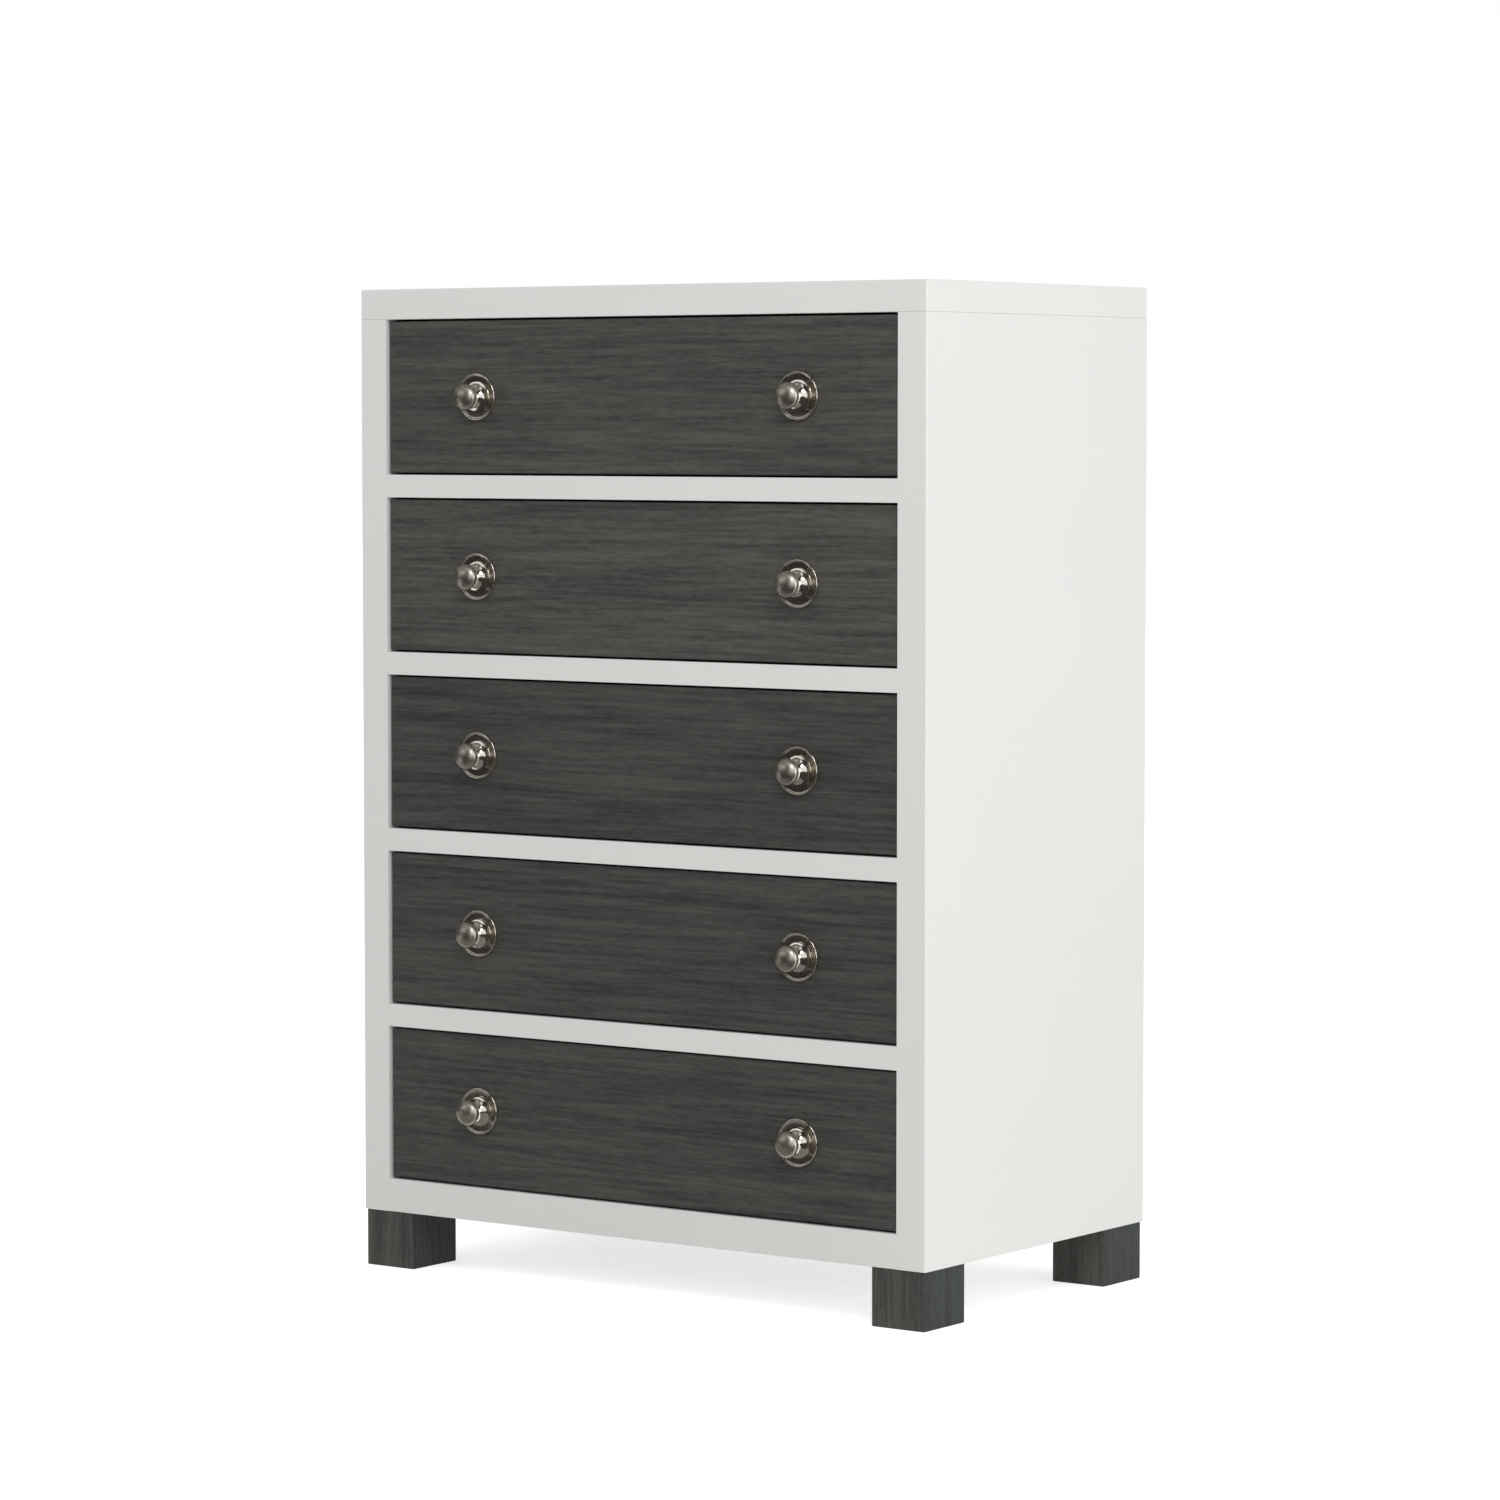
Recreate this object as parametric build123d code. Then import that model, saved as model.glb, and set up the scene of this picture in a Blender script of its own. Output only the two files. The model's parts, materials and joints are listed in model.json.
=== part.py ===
from build123d import *
import os

# A tall chest of five inset drawers on four block feet, in millimetres.
# +Z is up, the drawers open towards -Y, and +X is on the right of someone who stands in front of it.
# The origin is on the floor, at the middle of the whole outline, knobs included.

# Case
CASE_WIDTH = 840.0
CASE_DEPTH = 478.0
TOP_THICKNESS = 37.0
SIDE_THICKNESS = 18.0
FLOOR_THICKNESS = 16.0
BACK_THICKNESS = 5.0
BACK_LAP = 9.0              # how far the back panel reaches into the rabbet of each side
EDGE_EASE = 2.0             # radius on the outer edges
ARRIS = 0.8                 # chamfer under the top, which reads as a hairline seam

# Face frame
DRAWERS = 5
FRAME_THICKNESS = 22.0
STILE_WIDTH = 40.0
OPENING_HEIGHT = 190.0
RAIL_HEIGHT = 28.0
BOTTOM_RAIL_HEIGHT = 41.0
RAIL_EASE = 0.8             # radius along the front edges of each rail

# Feet, and the bolts that hold them
FOOT_WIDTH = 74.0
FOOT_DEPTH = 84.0
FOOT_HEIGHT = 70.0
FOOT_INSET = 2.0            # how far the feet stand in from the faces of the case
FOOT_EASE = 1.5
BOLT_DIAMETER = 8.0
BOLT_BITE = 40.0            # length of bolt inside the foot
BOLT_TAIL = 3.0             # length of bolt above its nut
NUT_WIDTH = 13.0            # across the flats
NUT_HEIGHT = 6.5
WASHER_DIAMETER = 22.0
WASHER_THICKNESS = 1.6
BOLT_CLEARANCE = 0.1        # round the bolt in its holes, its washer and its nut

# Dowels that hold the rails to the stiles and the top to the sides
DOWEL_DIAMETER = 8.0
DOWEL_LENGTH = 30.0
DOWEL_CLEARANCE = 0.1
DOWEL_END_ROOM = 1.0        # glue room past each end of a dowel
TOP_DOWEL_INSET = 60.0      # from the ends of a side panel to the outer dowels of the top
TOP_DOWELS = 3              # in each side
RAIL_DOWEL_SHARES = (0.25, 0.75)    # of a rail's height, where its dowels lie

# Drawers
FRONT_THICKNESS = 20.0
FRONT_RECESS = 4.0          # how far a drawer front lies behind the face of the frame
FRONT_GAP = 2.5             # round a drawer front in its opening
FRONT_EASE = 1.5
BOX_FLOOR_GAP = 14.0        # from the opening's floor to the lower edge of the drawer box
BOX_HEAD_GAP = 26.0         # from the upper edge of the drawer box to the opening's ceiling
BOX_REAR_GAP = 23.0         # from the drawer box to the back panel
BOX_SIDE_THICKNESS = 12.0
BOX_BACK_THICKNESS = 12.0
BOX_BACK_SETBACK = 10.0     # from the rear ends of the box sides to the box back
BOX_BOTTOM_THICKNESS = 5.0
BOX_BOTTOM_RISE = 12.0      # from the lower edge of the box to its bottom
GROOVE_DEPTH = 6.0          # of every dado and groove in the drawer

# Knobs, each on a machine screw through the drawer front
KNOB_SPACING = 478.0
KNOB_HEIGHT = 34.0          # from the drawer front to the crown
KNOB_DISH_DIAMETER = 57.0
KNOB_DISH_FLOOR = 2.2       # from the drawer front to the flat ring inside the rim
KNOB_RIM_WIDTH = 2.2
KNOB_RIM_HEIGHT = 4.4
KNOB_FOOT_DIAMETER = 36.8   # of the flared foot that stands in the dish
KNOB_FOOT_EDGE = 1.0        # height of the foot's edge above the dish
KNOB_NECK_DIAMETER = 12.4
KNOB_HEAD_DIAMETER = 32.0
KNOB_HEAD_CROWN = 9.6       # from the widest ring of the head to the crown
KNOB_HEAD_UNDERCUT = 6.5    # from the widest ring of the head down to the neck
FOOT_PULL = (0.36, 0.02)    # shares of the flare that shape its curve where it leaves the foot
NECK_PULL = 0.33            # share of the flare's height that shapes its curve below the neck
UNDERCUT_PULL = 0.45        # share of the undercut that shapes its curve at both ends
ROUND_PULL = 0.5523         # share of a half axis at which a curve's pull makes a quarter ellipse
SCREW_DIAMETER = 4.0
SCREW_BITE = 11.0           # length of screw inside the knob
SCREW_HEAD_DIAMETER = 8.0
SCREW_HEAD_HEIGHT = 2.6
SCREW_CLEARANCE = 0.15

# Ball-bearing slides, one pair to a drawer
SLIDE_THICKNESS = 12.7      # from the cleat to the drawer box
SLIDE_HEIGHT = 35.0
SLIDE_SHEET = 1.2
SLIDE_FRONT_GAP = 3.0       # behind the face frame and the drawer front
SLIDE_REAR_GAP = 46.0       # in front of the back panel
SLIDE_OVERLAP = 100.0       # length of rail still engaged when the drawer is pulled out
OUTER_LIP_GAP = 3.2         # from the lips of the case rail to the drawer box
BALL_DIAMETER = 4.0
BALL_CLEARANCE = 0.1        # between a ball and each rail
POCKET_CLEARANCE = 0.15     # round a ball in its cage
BALLS_PER_ROW = 4
CAGE_SHEET = 0.8
CAGE_GAP = 0.5              # between the cage and the rails
CAGE_EDGE = 0.9             # of cage past each pocket
CAGE_END_GAP = 2.0          # from the ends of the cage to the ends of the overlap
CLEAT_HEIGHT = 60.0

# Places that follow from the sizes
KNOB_REACH = KNOB_HEIGHT - FRONT_RECESS
TOTAL_DEPTH = CASE_DEPTH + KNOB_REACH
Y_FACE = KNOB_REACH - TOTAL_DEPTH / 2               # face of the frame
Y_REAR = TOTAL_DEPTH / 2                            # rear of the case
Y_BEHIND_FRAME = Y_FACE + FRAME_THICKNESS
Y_BACK_PANEL = Y_REAR - BACK_THICKNESS              # inner face of the back panel
X_OUT = CASE_WIDTH / 2
X_SIDE = X_OUT - SIDE_THICKNESS                     # inner face of a side panel
X_OPENING = X_OUT - STILE_WIDTH                     # edge of the drawer openings
X_BOX = X_OPENING - SLIDE_THICKNESS                 # outer face of a drawer box
X_BOX_INSIDE = X_BOX - BOX_SIDE_THICKNESS
Z_CASE = FOOT_HEIGHT
Z_FIRST_FLOOR = Z_CASE + BOTTOM_RAIL_HEIGHT         # floor of the lowest opening
DRAWER_PITCH = OPENING_HEIGHT + RAIL_HEIGHT
Z_UNDER_TOP = Z_FIRST_FLOOR + DRAWERS * OPENING_HEIGHT + (DRAWERS - 1) * RAIL_HEIGHT
Z_TOP = Z_UNDER_TOP + TOP_THICKNESS
Y_FRONT_FACE = Y_FACE + FRONT_RECESS                # face of a drawer front
Y_FRONT_BACK = Y_FRONT_FACE + FRONT_THICKNESS
Y_GROOVE = Y_FRONT_BACK - GROOVE_DEPTH              # floor of the dadoes in a drawer front
Y_BOX_REAR = Y_BACK_PANEL - BOX_REAR_GAP
Y_SLIDE_FRONT = max(Y_BEHIND_FRAME, Y_FRONT_BACK) + SLIDE_FRONT_GAP
Y_SLIDE_REAR = Y_BACK_PANEL - SLIDE_REAR_GAP
DRAWER_TRAVEL = Y_SLIDE_REAR - Y_SLIDE_FRONT - SLIDE_OVERLAP
BOX_HEIGHT = OPENING_HEIGHT - BOX_FLOOR_GAP - BOX_HEAD_GAP
SIDES = {"left": -1, "right": 1}


def opening_floor(drawer):
    """Height of the floor of a drawer's opening, with drawer 1 at the top."""
    return Z_FIRST_FLOOR + (DRAWERS - drawer) * DRAWER_PITCH


def box_floor(drawer):
    return opening_floor(drawer) + BOX_FLOOR_GAP


def slide_height(drawer):
    """Height of the middle line of a drawer's slides."""
    return box_floor(drawer) + BOX_HEIGHT / 2


def knob_height(drawer):
    return opening_floor(drawer) + OPENING_HEIGHT / 2


def block(x0, x1, y0, y1, z0, z1):
    """A box between two corners."""
    middle = Pos((x0 + x1) / 2, (y0 + y1) / 2, (z0 + z1) / 2)
    return middle * Box(abs(x1 - x0), y1 - y0, z1 - z0)


def rod(start, direction, radius, length):
    """A cylinder that runs from a point along a direction."""
    return Plane(origin=start, z_dir=direction) * Cylinder(
        radius, length, align=(Align.CENTER, Align.CENTER, Align.MIN)
    )


def save(name, *solids):
    """Writes one node, from one solid or a group of separate ones."""
    shape = solids[0] if len(solids) == 1 else Compound(children=list(solids))
    export_step(shape, f"parts/{name}.step")


# Dowels: the middle of each, and the direction it runs in
def rail_bands():
    """Lower edge and height of each rail, from the drawer rails down to the bottom rail."""
    bands = [(opening_floor(k) - RAIL_HEIGHT, RAIL_HEIGHT) for k in range(1, DRAWERS)]
    return bands + [(Z_CASE, BOTTOM_RAIL_HEIGHT)]


def rail_dowel_places():
    y = Y_FACE + FRAME_THICKNESS / 2
    return [
        (side * X_OPENING, y, floor + height * share)
        for floor, height in rail_bands()
        for side in SIDES.values()
        for share in RAIL_DOWEL_SHARES
    ]


def top_dowel_places():
    first = Y_BEHIND_FRAME + TOP_DOWEL_INSET
    step = (Y_BACK_PANEL - TOP_DOWEL_INSET - first) / (TOP_DOWELS - 1)
    return [
        (side * (X_OUT - SIDE_THICKNESS / 2), first + step * k, Z_UNDER_TOP)
        for side in SIDES.values()
        for k in range(TOP_DOWELS)
    ]


def dowels(places, axis, extra_radius=0.0, extra_end=0.0):
    """Dowels, or their holes, centred on places and lying along an axis."""
    half = DOWEL_LENGTH / 2 + extra_end
    radius = DOWEL_DIAMETER / 2 + extra_radius
    return [rod(Vector(*p) - Vector(*axis) * half, axis, radius, 2 * half) for p in places]


RAIL_DOWEL_HOLES = dowels(rail_dowel_places(), (1, 0, 0), DOWEL_CLEARANCE, DOWEL_END_ROOM)
TOP_DOWEL_HOLES = dowels(top_dowel_places(), (0, 0, 1), DOWEL_CLEARANCE, DOWEL_END_ROOM)


# Case pieces
def top_panel():
    slab = block(-X_OUT, X_OUT, Y_FACE, Y_REAR, Z_UNDER_TOP, Z_TOP)
    corners = slab.edges().filter_by(Axis.Z)
    slab = fillet(corners + slab.edges().group_by(Axis.Z)[-1], EDGE_EASE)
    slab = chamfer(slab.edges().group_by(Axis.Z)[0], ARRIS)
    return slab - TOP_DOWEL_HOLES


def side_panel(side):
    panel = block(side * X_SIDE, side * X_OUT, Y_BEHIND_FRAME, Y_REAR, Z_CASE, Z_UNDER_TOP)
    rabbet_edge = side * (X_SIDE + BACK_LAP)
    panel -= block(side * X_SIDE, rabbet_edge, Y_BACK_PANEL, Y_REAR, Z_CASE, Z_UNDER_TOP)
    return panel - [h for h in TOP_DOWEL_HOLES if h.center().X * side > 0]


def stile(side):
    post = block(side * X_OPENING, side * X_OUT, Y_FACE, Y_BEHIND_FRAME, Z_CASE, Z_UNDER_TOP)
    front = post.edges().filter_by(Axis.Z).group_by(Axis.Y)[0]
    post = fillet(front.sort_by(Axis.X)[-1 if side > 0 else 0], EDGE_EASE)
    return post - [h for h in RAIL_DOWEL_HOLES if h.center().X * side > 0]


def rail(floor, height):
    bar = block(-X_OPENING, X_OPENING, Y_FACE, Y_BEHIND_FRAME, floor, floor + height)
    bar = fillet(bar.edges().filter_by(Axis.X).group_by(Axis.Y)[0], RAIL_EASE)
    return bar - [h for h in RAIL_DOWEL_HOLES if floor < h.center().Z < floor + height]


def foot_places():
    """Name and middle of each foot, on the plane of the floor."""
    x = X_OUT - FOOT_INSET - FOOT_WIDTH / 2
    rows = {
        "front": Y_FACE + FOOT_INSET + FOOT_DEPTH / 2,
        "rear": Y_REAR - FOOT_INSET - FOOT_DEPTH / 2,
    }
    return {f"{row}_{name}": (side * x, y) for row, y in rows.items() for name, side in SIDES.items()}


def bottom_panel():
    panel = block(-X_SIDE, X_SIDE, Y_BEHIND_FRAME, Y_BACK_PANEL, Z_CASE, Z_CASE + FLOOR_THICKNESS)
    radius = BOLT_DIAMETER / 2 + BOLT_CLEARANCE
    places = foot_places().values()
    return panel - [rod((x, y, Z_CASE), (0, 0, 1), radius, FLOOR_THICKNESS) for x, y in places]


def back_panel():
    x = X_SIDE + BACK_LAP
    return block(-x, x, Y_BACK_PANEL, Y_REAR, Z_CASE, Z_UNDER_TOP)


def foot(x, y):
    half_width = FOOT_WIDTH / 2
    half_depth = FOOT_DEPTH / 2
    cube = block(x - half_width, x + half_width, y - half_depth, y + half_depth, 0, FOOT_HEIGHT)
    cube = fillet(cube.edges().filter_by(Axis.Z) + cube.edges().group_by(Axis.Z)[0], FOOT_EASE)
    depth = BOLT_BITE + BOLT_CLEARANCE
    return cube - rod((x, y, Z_CASE - depth), (0, 0, 1), BOLT_DIAMETER / 2 + BOLT_CLEARANCE, depth)


def foot_bolt(x, y):
    """The stud in a foot, and the washer and nut that draw it up against the case floor."""
    seat = Z_CASE + FLOOR_THICKNESS
    nut_seat = seat + WASHER_THICKNESS
    length = BOLT_BITE + FLOOR_THICKNESS + WASHER_THICKNESS + NUT_HEIGHT + BOLT_TAIL
    hole = BOLT_DIAMETER / 2 + BOLT_CLEARANCE
    stud = rod((x, y, Z_CASE - BOLT_BITE), (0, 0, 1), BOLT_DIAMETER / 2, length)
    washer = rod((x, y, seat), (0, 0, 1), WASHER_DIAMETER / 2, WASHER_THICKNESS)
    washer -= rod((x, y, seat), (0, 0, 1), hole, WASHER_THICKNESS)
    hexagon = RegularPolygon(NUT_WIDTH / 2, 6, major_radius=False)
    nut = extrude(Pos(x, y, nut_seat) * hexagon, NUT_HEIGHT)
    nut -= rod((x, y, nut_seat), (0, 0, 1), hole, NUT_HEIGHT)
    return [stud, washer, nut]


def cleat(drawer, side):
    """The batten that brings a slide level with the edge of the opening."""
    middle = slide_height(drawer)
    half = CLEAT_HEIGHT / 2
    return block(
        side * X_OPENING, side * X_SIDE, Y_BEHIND_FRAME, Y_BACK_PANEL, middle - half, middle + half
    )


# Slides: u runs from the cleat towards the drawer box, and v runs up from the slide's middle line
def slide_block(drawer, side, u0, u1, v0, v1, y0, y1):
    middle = slide_height(drawer)
    return block(
        side * (X_OPENING - u0), side * (X_OPENING - u1), y0, y1, middle + v0, middle + v1
    )


RACE = SLIDE_HEIGHT / 2 - SLIDE_SHEET               # inner faces of the case rail's flanges
BALL_LINE = RACE - BALL_CLEARANCE - BALL_DIAMETER / 2
INNER_HALF = RACE - 2 * BALL_CLEARANCE - BALL_DIAMETER
BALL_DISTANCE = SLIDE_THICKNESS / 2
CAGE_START = SLIDE_SHEET + CAGE_GAP
INNER_START = CAGE_START + CAGE_SHEET + CAGE_GAP
CAGE_END = BALL_DISTANCE + BALL_DIAMETER / 2 + POCKET_CLEARANCE + CAGE_EDGE
CAGE_LENGTH = SLIDE_OVERLAP - 2 * CAGE_END_GAP
Y_CAGE = Y_SLIDE_FRONT + DRAWER_TRAVEL / 2 + CAGE_END_GAP


def case_rail(drawer, side):
    half = SLIDE_HEIGHT / 2
    lip = SLIDE_THICKNESS - OUTER_LIP_GAP
    channel = slide_block(drawer, side, 0, lip, -half, half, Y_SLIDE_FRONT, Y_SLIDE_REAR)
    return channel - slide_block(
        drawer, side, SLIDE_SHEET, lip, -RACE, RACE, Y_SLIDE_FRONT, Y_SLIDE_REAR
    )


def drawer_rail_channel(drawer, side):
    web = SLIDE_THICKNESS - SLIDE_SHEET
    hollow = INNER_HALF - SLIDE_SHEET
    channel = slide_block(
        drawer, side, INNER_START, SLIDE_THICKNESS, -INNER_HALF, INNER_HALF, Y_SLIDE_FRONT, Y_SLIDE_REAR
    )
    return channel - slide_block(
        drawer, side, INNER_START, web, -hollow, hollow, Y_SLIDE_FRONT, Y_SLIDE_REAR
    )


def ball_places(drawer, side):
    pitch = CAGE_LENGTH / BALLS_PER_ROW
    x = side * (X_OPENING - BALL_DISTANCE)
    middle = slide_height(drawer)
    return [
        (x, Y_CAGE + pitch * (k + 0.5), middle + row * BALL_LINE)
        for row in (-1, 1)
        for k in range(BALLS_PER_ROW)
    ]


def ball_cage(drawer, side):
    """A bent strip with a pocket for each ball, and the balls."""
    outer = BALL_LINE + CAGE_SHEET / 2
    inner = BALL_LINE - CAGE_SHEET / 2
    rear = Y_CAGE + CAGE_LENGTH
    strip = slide_block(drawer, side, CAGE_START, CAGE_END, -outer, outer, Y_CAGE, rear)
    strip -= slide_block(drawer, side, CAGE_START + CAGE_SHEET, CAGE_END, -inner, inner, Y_CAGE, rear)
    pocket = BALL_DIAMETER / 2 + POCKET_CLEARANCE
    places = ball_places(drawer, side)
    strip -= [rod((x, y, z - CAGE_SHEET), (0, 0, 1), pocket, 2 * CAGE_SHEET) for x, y, z in places]
    return [strip] + [Pos(*place) * Sphere(BALL_DIAMETER / 2) for place in places]


# Drawer pieces
def drawer_front(drawer):
    floor = opening_floor(drawer) + FRONT_GAP
    ceiling = opening_floor(drawer) + OPENING_HEIGHT - FRONT_GAP
    half = X_OPENING - FRONT_GAP
    slab = block(-half, half, Y_FRONT_FACE, Y_FRONT_BACK, floor, ceiling)
    slab = fillet(slab.faces().sort_by(Axis.Y)[0].edges(), FRONT_EASE)
    low = box_floor(drawer)
    bottom = low + BOX_BOTTOM_RISE
    groove = X_BOX_INSIDE + GROOVE_DEPTH
    cuts = [block(-groove, groove, Y_GROOVE, Y_FRONT_BACK, bottom, bottom + BOX_BOTTOM_THICKNESS)]
    for side in SIDES.values():
        cuts.append(
            block(side * X_BOX_INSIDE, side * X_BOX, Y_GROOVE, Y_FRONT_BACK, low, low + BOX_HEIGHT)
        )
        start = (side * KNOB_SPACING / 2, Y_FRONT_FACE, knob_height(drawer))
        cuts.append(rod(start, (0, 1, 0), SCREW_DIAMETER / 2 + SCREW_CLEARANCE, FRONT_THICKNESS))
    return slab - cuts


def drawer_side(drawer, side):
    low = box_floor(drawer)
    high = low + BOX_HEIGHT
    bottom = low + BOX_BOTTOM_RISE
    groove_top = bottom + BOX_BOTTOM_THICKNESS
    groove_wall = side * (X_BOX_INSIDE + GROOVE_DEPTH)
    back_rear = Y_BOX_REAR - BOX_BACK_SETBACK
    board = block(side * X_BOX_INSIDE, side * X_BOX, Y_GROOVE, Y_BOX_REAR, low, high)
    groove = block(side * X_BOX_INSIDE, groove_wall, Y_GROOVE, Y_BOX_REAR, bottom, groove_top)
    dado = block(
        side * X_BOX_INSIDE, groove_wall, back_rear - BOX_BACK_THICKNESS, back_rear, groove_top, high
    )
    return board - groove - dado


def drawer_back(drawer):
    half = X_BOX_INSIDE + GROOVE_DEPTH
    rear = Y_BOX_REAR - BOX_BACK_SETBACK
    low = box_floor(drawer)
    return block(
        -half, half, rear - BOX_BACK_THICKNESS, rear,
        low + BOX_BOTTOM_RISE + BOX_BOTTOM_THICKNESS, low + BOX_HEIGHT,
    )


def drawer_bottom(drawer):
    half = X_BOX_INSIDE + GROOVE_DEPTH
    low = box_floor(drawer) + BOX_BOTTOM_RISE
    return block(-half, half, Y_GROOVE, Y_BOX_REAR, low, low + BOX_BOTTOM_THICKNESS)


def knob_profile():
    """Half section of a knob: radius across, height above the drawer front upwards."""
    dish = KNOB_DISH_DIAMETER / 2
    rim = KNOB_RIM_WIDTH
    shelf = KNOB_RIM_HEIGHT - rim / 2
    drop = shelf - KNOB_DISH_FLOOR
    foot = KNOB_FOOT_DIAMETER / 2
    foot_top = KNOB_DISH_FLOOR + KNOB_FOOT_EDGE
    neck = KNOB_NECK_DIAMETER / 2
    head = KNOB_HEAD_DIAMETER / 2
    widest = KNOB_HEIGHT - KNOB_HEAD_CROWN
    shoulder = widest - KNOB_HEAD_UNDERCUT
    rise = shoulder - foot_top
    undercut_pull = UNDERCUT_PULL * KNOB_HEAD_UNDERCUT
    outline = [
        Polyline((0, 0), (dish, 0), (dish, shelf)),
        ThreePointArc((dish, shelf), (dish - rim / 2, KNOB_RIM_HEIGHT), (dish - rim, shelf)),
        JernArc((dish - rim, shelf), (0, -1), drop, -90),
        Polyline((dish - rim - drop, KNOB_DISH_FLOOR), (foot, KNOB_DISH_FLOOR), (foot, foot_top)),
        Bezier(
            (foot, foot_top),
            (foot - FOOT_PULL[0] * (foot - neck), foot_top + FOOT_PULL[1] * rise),
            (neck, foot_top + NECK_PULL * rise),
            (neck, shoulder),
        ),
        Bezier(
            (neck, shoulder),
            (neck, shoulder + undercut_pull),
            (head, widest - undercut_pull),
            (head, widest),
        ),
        Bezier(
            (head, widest),
            (head, widest + ROUND_PULL * KNOB_HEAD_CROWN),
            (ROUND_PULL * head, KNOB_HEIGHT),
            (0, KNOB_HEIGHT),
        ),
        Line((0, KNOB_HEIGHT), (0, 0)),
    ]
    return make_face(outline)


def knob(drawer, side):
    """A turned knob and the screw that holds it."""
    place = Vector(side * KNOB_SPACING / 2, Y_FRONT_FACE, knob_height(drawer))
    turned = revolve(Plane.XZ * knob_profile(), Axis.Z)
    turned = Pos(*place) * (Rot(90, 0, 0) * turned)
    bore = SCREW_BITE + SCREW_CLEARANCE
    turned -= rod(place - Vector(0, bore, 0), (0, 1, 0), SCREW_DIAMETER / 2 + SCREW_CLEARANCE, bore)
    seat = place + Vector(0, FRONT_THICKNESS, 0)
    head = rod(seat, (0, 1, 0), SCREW_HEAD_DIAMETER / 2, SCREW_HEAD_HEIGHT)
    head = fillet(head.edges().sort_by(Axis.Y)[-1], SCREW_HEAD_HEIGHT / 2)
    shank = rod(place - Vector(0, SCREW_BITE, 0), (0, 1, 0), SCREW_DIAMETER / 2, SCREW_BITE + FRONT_THICKNESS)
    return [turned, head + shank]


def pair(maker, drawer):
    """What a maker gives for the left and for the right of a drawer, in one list."""
    made = []
    for side in SIDES.values():
        made += maker(drawer, side)
    return made


os.makedirs("parts", exist_ok=True)

save("top_panel", top_panel())
save("bottom_panel", bottom_panel())
save("back_panel", back_panel())
for name, side in SIDES.items():
    save(f"{name}_side_panel", side_panel(side))
    save(f"{name}_stile", stile(side))
*DRAWER_RAIL_BANDS, BOTTOM_RAIL_BAND = rail_bands()
for number, band in enumerate(DRAWER_RAIL_BANDS, start=1):
    save(f"drawer_rail_{number}", rail(*band))
save("bottom_rail", rail(*BOTTOM_RAIL_BAND))
for name, place in foot_places().items():
    save(f"{name}_foot", foot(*place))
save("foot_bolts", *[piece for place in foot_places().values() for piece in foot_bolt(*place)])
save(
    "joint_dowels",
    *dowels(rail_dowel_places(), (1, 0, 0)),
    *dowels(top_dowel_places(), (0, 0, 1)),
)

numbers = range(1, DRAWERS + 1)
save("slide_cleats", *[cleat(n, side) for n in numbers for side in SIDES.values()])
save("case_slide_rails", *[case_rail(n, side) for n in numbers for side in SIDES.values()])
for n in numbers:
    save(f"drawer_{n}_front", drawer_front(n))
    for name, side in SIDES.items():
        save(f"drawer_{n}_{name}_side", drawer_side(n, side))
    save(f"drawer_{n}_back", drawer_back(n))
    save(f"drawer_{n}_bottom", drawer_bottom(n))
    save(f"drawer_{n}_knobs", *pair(knob, n))
    save(f"drawer_{n}_slide_rails", *[drawer_rail_channel(n, side) for side in SIDES.values()])
    save(f"drawer_{n}_ball_cages", *pair(ball_cage, n))
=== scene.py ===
import json
import math

import bmesh
import bpy
from bpy.props import FloatProperty, FloatVectorProperty, IntProperty, PointerProperty
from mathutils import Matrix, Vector

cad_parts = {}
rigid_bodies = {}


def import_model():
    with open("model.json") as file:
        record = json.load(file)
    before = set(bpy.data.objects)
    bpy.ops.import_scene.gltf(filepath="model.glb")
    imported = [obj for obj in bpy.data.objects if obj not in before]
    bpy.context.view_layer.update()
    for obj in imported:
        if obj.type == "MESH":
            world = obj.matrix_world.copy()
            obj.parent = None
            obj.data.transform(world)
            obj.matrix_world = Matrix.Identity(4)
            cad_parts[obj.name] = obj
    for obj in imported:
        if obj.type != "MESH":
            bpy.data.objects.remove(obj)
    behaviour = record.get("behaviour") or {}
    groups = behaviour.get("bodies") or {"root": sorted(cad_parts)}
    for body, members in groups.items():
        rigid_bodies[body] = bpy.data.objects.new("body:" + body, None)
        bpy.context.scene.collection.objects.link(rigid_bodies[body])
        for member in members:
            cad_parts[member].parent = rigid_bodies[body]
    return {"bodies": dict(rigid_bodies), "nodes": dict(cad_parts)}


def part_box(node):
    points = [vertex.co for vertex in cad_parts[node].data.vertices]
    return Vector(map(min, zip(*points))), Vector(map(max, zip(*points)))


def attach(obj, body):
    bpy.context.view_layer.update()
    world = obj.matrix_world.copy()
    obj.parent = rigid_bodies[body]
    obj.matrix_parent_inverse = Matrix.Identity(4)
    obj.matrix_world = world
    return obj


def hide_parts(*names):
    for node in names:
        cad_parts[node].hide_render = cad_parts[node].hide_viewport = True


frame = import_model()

bl_info = {
    "name": "Tall chest of drawers",
    "version": (1, 0, 0),
    "blender": (4, 5, 0),
    "location": "3D View > Sidebar > Chest",
    "description": "Finishes, knobs, screws and a studio for a tall chest of inset drawers",
    "category": "Object",
}

MM = 0.001
WHITE = (1.0, 1.0, 1.0, 1.0)
UNTURNED = (0.0, 0.0, 0.0)
SHARP_ANGLE = math.radians(40)  # edges of turned pieces past this stay crisp
CLOSED_RADIUS = 0.01 * MM  # a ring smaller than this is one point
SENSOR_WIDTH = 36.0  # millimetres

# Shares of the patterns in the tone of a wood, and the painted shade, darker and cooler, that faces turned
# to X show
BAND_SHARE = 0.7
PORE_SHARE = 0.6
FLECK_SHARE = 0.4
PAINTED_SIDE_SHADE = (0.48, 0.57, 0.59, 1.0)

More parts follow.
